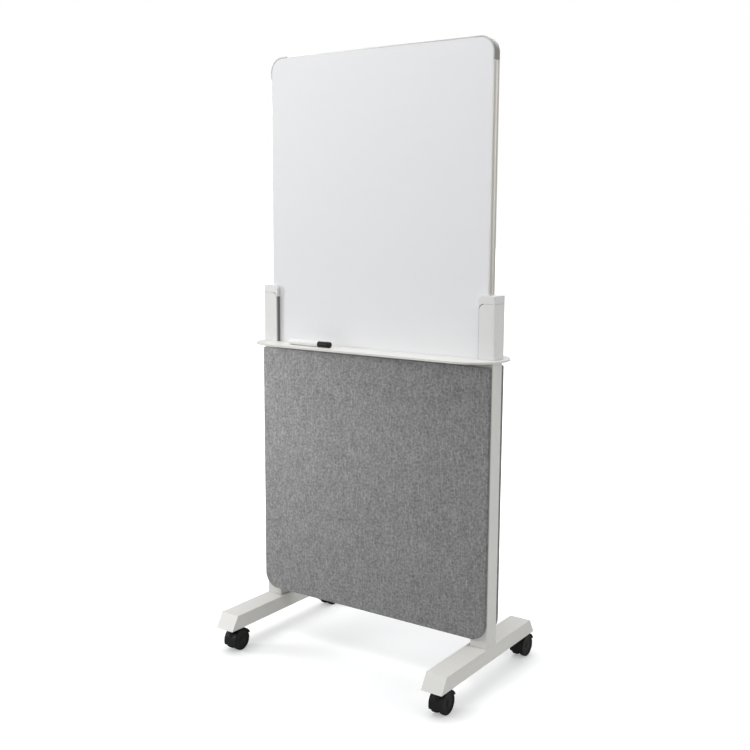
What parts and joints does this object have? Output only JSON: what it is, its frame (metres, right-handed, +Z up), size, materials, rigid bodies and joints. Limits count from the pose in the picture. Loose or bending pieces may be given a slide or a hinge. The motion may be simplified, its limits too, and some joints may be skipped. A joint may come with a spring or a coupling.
{
  "type": "rolling whiteboard",
  "caption": "Rolling whiteboard: a tall lift-out dry-wipe board in slotted brackets over a pen tray and grey felt panels, on feet with swivel castors.",
  "frame": {"origin": "on the floor, at the middle of the footprint box", "axes": "+Z up; the front faces -Y; +X is to the right seen from the front"},
  "size_m": [0.786, 0.5176, 1.6528],
  "materials": {
    "white_powder_coat": "white powder coat, fine orange peel, semi-matt",
    "white_plastic": "white moulded plastic, fine texture",
    "white_writing_surface": "glossy white dry-wipe coating",
    "board_core_fibre": "plain fibre core",
    "satin_aluminium": "satin anodised extrusion with a groove",
    "grey_corner_plastic": "grey moulded plastic",
    "grey_felt": "mottled grey pressed felt",
    "black_hook_tape": "black hook tape",
    "black_plug_plastic": "black moulded plastic",
    "black_castor_nylon": "black nylon",
    "zinc_plated_steel": "zinc plated",
    "marker_barrel_plastic": "white plastic",
    "marker_cap_plastic": "black plastic"
  },
  "bodies": {
    "stand": {"left_foot": "white_powder_coat", "left_post": "white_powder_coat", "left_post_plug": "black_plug_plastic", "left_bracket": "white_plastic", "left_bracket_cap": "white_plastic", "left_front_foot_bolt": "zinc_plated_steel", "left_front_tie_bolt": "zinc_plated_steel", "left_front_hook_tape": "black_hook_tape", "left_front_castor_stem": "zinc_plated_steel", "left_rear_foot_bolt": "zinc_plated_steel", "left_rear_tie_bolt": "zinc_plated_steel", "left_rear_hook_tape": "black_hook_tape", "left_rear_castor_stem": "zinc_plated_steel", "right_foot": "white_powder_coat", "right_post": "white_powder_coat", "right_post_plug": "black_plug_plastic", "right_bracket": "white_plastic", "right_bracket_cap": "white_plastic", "right_front_foot_bolt": "zinc_plated_steel", "right_front_tie_bolt": "zinc_plated_steel", "right_front_hook_tape": "black_hook_tape", "right_front_castor_stem": "zinc_plated_steel", "right_rear_foot_bolt": "zinc_plated_steel", "right_rear_tie_bolt": "zinc_plated_steel", "right_rear_hook_tape": "black_hook_tape", "right_rear_castor_stem": "zinc_plated_steel", "front_felt_panel": "grey_felt", "rear_felt_panel": "grey_felt", "upper_rail": "white_powder_coat", "lower_rail": "white_powder_coat", "tray": "white_powder_coat"},
    "board": {"board_core": "board_core_fibre", "front_writing_sheet": "white_writing_surface", "rear_writing_sheet": "white_writing_surface", "left_edge_profile": "satin_aluminium", "right_edge_profile": "satin_aluminium", "top_edge_profile": "satin_aluminium", "bottom_edge_profile": "satin_aluminium", "top_left_corner": "grey_corner_plastic", "top_right_corner": "grey_corner_plastic", "bottom_left_corner": "grey_corner_plastic", "bottom_right_corner": "grey_corner_plastic"},
    "marker": {"marker_barrel": "marker_barrel_plastic"},
    "marker_cap": {"marker_cap": "marker_cap_plastic"},
    "left_front_castor": {"left_front_castor_hood": "black_castor_nylon", "left_front_castor_axle": "zinc_plated_steel"},
    "left_front_castor_outer_wheel": {"left_front_castor_outer_wheel": "black_castor_nylon"},
    "left_front_castor_inner_wheel": {"left_front_castor_inner_wheel": "black_castor_nylon"},
    "left_rear_castor": {"left_rear_castor_hood": "black_castor_nylon", "left_rear_castor_axle": "zinc_plated_steel"},
    "left_rear_castor_outer_wheel": {"left_rear_castor_outer_wheel": "black_castor_nylon"},
    "left_rear_castor_inner_wheel": {"left_rear_castor_inner_wheel": "black_castor_nylon"},
    "right_front_castor": {"right_front_castor_hood": "black_castor_nylon", "right_front_castor_axle": "zinc_plated_steel"},
    "right_front_castor_outer_wheel": {"right_front_castor_outer_wheel": "black_castor_nylon"},
    "right_front_castor_inner_wheel": {"right_front_castor_inner_wheel": "black_castor_nylon"},
    "right_rear_castor": {"right_rear_castor_hood": "black_castor_nylon", "right_rear_castor_axle": "zinc_plated_steel"},
    "right_rear_castor_outer_wheel": {"right_rear_castor_outer_wheel": "black_castor_nylon"},
    "right_rear_castor_inner_wheel": {"right_rear_castor_inner_wheel": "black_castor_nylon"}
  },
  "joints": [
    {"name": "board_lift", "type": "slide", "parent": "stand", "child": "board", "axis": [0, 0, 1], "range_m": [0, 0.2]},
    {"name": "marker_lift", "type": "slide", "parent": "stand", "child": "marker", "axis": [0, 0, 1], "range_m": [0, 0.15]},
    {"name": "marker_cap_pull", "type": "slide", "parent": "marker", "child": "marker_cap", "axis": [1, 0, 0], "range_m": [0, 0.05]},
    {"name": "left_front_castor_swivel", "type": "hinge", "parent": "stand", "child": "left_front_castor", "pos_m": [-0.34, -0.22656, 0.066], "axis": [0, 0, 1], "continuous": true},
    {"name": "left_front_castor_outer_wheel_spin", "type": "hinge", "parent": "left_front_castor", "child": "left_front_castor_outer_wheel", "pos_m": [-0.34, -0.20506, 0.03], "axis": [1, 0, 0], "continuous": true},
    {"name": "left_front_castor_inner_wheel_spin", "type": "hinge", "parent": "left_front_castor", "child": "left_front_castor_inner_wheel", "pos_m": [-0.34, -0.20506, 0.03], "axis": [1, 0, 0], "continuous": true},
    {"name": "left_rear_castor_swivel", "type": "hinge", "parent": "stand", "child": "left_rear_castor", "pos_m": [-0.34, 0.20644, 0.066], "axis": [0, 0, 1], "continuous": true},
    {"name": "left_rear_castor_outer_wheel_spin", "type": "hinge", "parent": "left_rear_castor", "child": "left_rear_castor_outer_wheel", "pos_m": [-0.34, 0.22794, 0.03], "axis": [1, 0, 0], "continuous": true},
    {"name": "left_rear_castor_inner_wheel_spin", "type": "hinge", "parent": "left_rear_castor", "child": "left_rear_castor_inner_wheel", "pos_m": [-0.34, 0.22794, 0.03], "axis": [1, 0, 0], "continuous": true},
    {"name": "right_front_castor_swivel", "type": "hinge", "parent": "stand", "child": "right_front_castor", "pos_m": [0.34, -0.22656, 0.066], "axis": [0, 0, 1], "continuous": true},
    {"name": "right_front_castor_outer_wheel_spin", "type": "hinge", "parent": "right_front_castor", "child": "right_front_castor_outer_wheel", "pos_m": [0.34, -0.20506, 0.03], "axis": [1, 0, 0], "continuous": true},
    {"name": "right_front_castor_inner_wheel_spin", "type": "hinge", "parent": "right_front_castor", "child": "right_front_castor_inner_wheel", "pos_m": [0.34, -0.20506, 0.03], "axis": [1, 0, 0], "continuous": true},
    {"name": "right_rear_castor_swivel", "type": "hinge", "parent": "stand", "child": "right_rear_castor", "pos_m": [0.34, 0.20644, 0.066], "axis": [0, 0, 1], "continuous": true},
    {"name": "right_rear_castor_outer_wheel_spin", "type": "hinge", "parent": "right_rear_castor", "child": "right_rear_castor_outer_wheel", "pos_m": [0.34, 0.22794, 0.03], "axis": [1, 0, 0], "continuous": true},
    {"name": "right_rear_castor_inner_wheel_spin", "type": "hinge", "parent": "right_rear_castor", "child": "right_rear_castor_inner_wheel", "pos_m": [0.34, 0.22794, 0.03], "axis": [1, 0, 0], "continuous": true}
  ]
}
